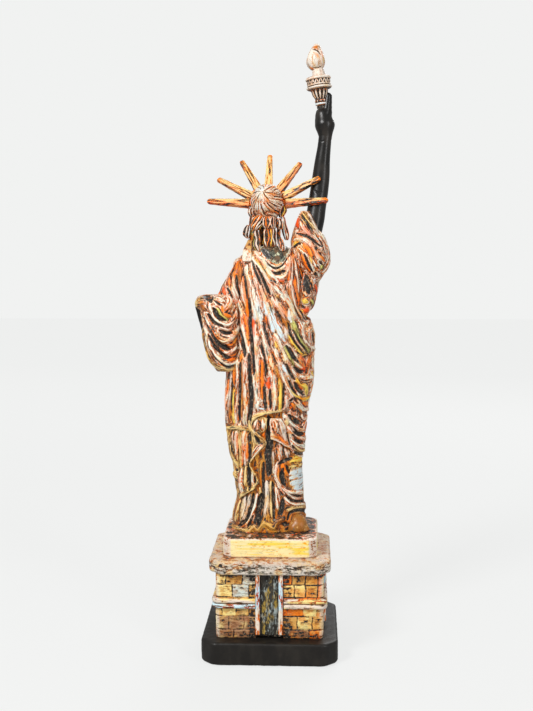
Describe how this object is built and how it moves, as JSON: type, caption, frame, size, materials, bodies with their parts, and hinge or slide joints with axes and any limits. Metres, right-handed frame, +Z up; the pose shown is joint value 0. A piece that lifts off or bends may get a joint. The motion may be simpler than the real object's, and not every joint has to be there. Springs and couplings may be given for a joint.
{
  "type": "miniature landmark model",
  "caption": "Painted cast souvenir of a robed figure with a rayed crown, raising a torch on a brick pedestal.",
  "frame": {"origin": "centre of the base's underside, on the surface that it stands on", "axes": "+Z up; the figure faces +Y, so its back is towards -Y, and its raised right arm is on the +X side"},
  "size_m": [0.0921, 0.084, 0.3782],
  "materials": {
    "felt": "matt felt",
    "plinth_paint": "satin black paint on cast resin, with small chips",
    "brick_paint": "black wash with yellow, orange and pale blue dry-brushed bricks",
    "trim_paint": "pale blue fading to cream, dry-brushed",
    "panel_paint": "dark with pale blue and ochre streaks",
    "slab_paint": "mottled grey, cream and yellow",
    "step_paint": "yellow with horizontal brush streaks",
    "robe_paint": "black, orange and cream in dry-brushed layers",
    "skin_paint": "satin black paint on cast resin",
    "hair_paint": "cream and orange dry-brush over black",
    "crown_paint": "yellow and cream fronts, orange and black sides",
    "torch_paint": "cream with orange creases",
    "gold_paint": "bronze-gold paint",
    "steel": "plain"
  },
  "bodies": {
    "root": {"base_felt": "felt", "plinth": "plinth_paint", "pedestal_block": "brick_paint", "belt_moulding": "trim_paint", "pilaster_strips": "trim_paint", "door_panels": "panel_paint", "cornice_slab": "slab_paint", "figure_step": "step_paint", "centre_dowel": "steel", "skirt": "robe_paint", "bodice": "robe_paint", "palla_back": "robe_paint", "palla_tail": "robe_paint", "palla_corner": "robe_paint", "palla_swag_right": "robe_paint", "palla_front": "robe_paint", "arm_drape": "robe_paint", "shoulder_strap": "robe_paint", "collar_cowl": "robe_paint", "sleeve_left": "robe_paint", "sleeve_right": "robe_paint", "neck": "skin_paint", "head": "skin_paint", "hair_cap": "hair_paint", "hair_tail": "hair_paint", "hair_locks": "hair_paint", "diadem": "crown_paint", "crown_ray_1": "crown_paint", "crown_ray_2": "crown_paint", "crown_ray_3": "crown_paint", "crown_ray_4": "crown_paint", "crown_ray_5": "crown_paint", "crown_ray_6": "crown_paint", "crown_ray_7": "crown_paint", "arm_right": "skin_paint", "hand_right": "skin_paint", "arm_core": "steel", "torch_handle": "torch_paint", "torch_cup": "torch_paint", "torch_gallery": "torch_paint", "torch_stem": "torch_paint", "torch_flame": "torch_paint", "tablet": "skin_paint", "hand_left": "skin_paint", "foot_right": "gold_paint", "foot_left": "gold_paint"}
  },
  "joints": []
}
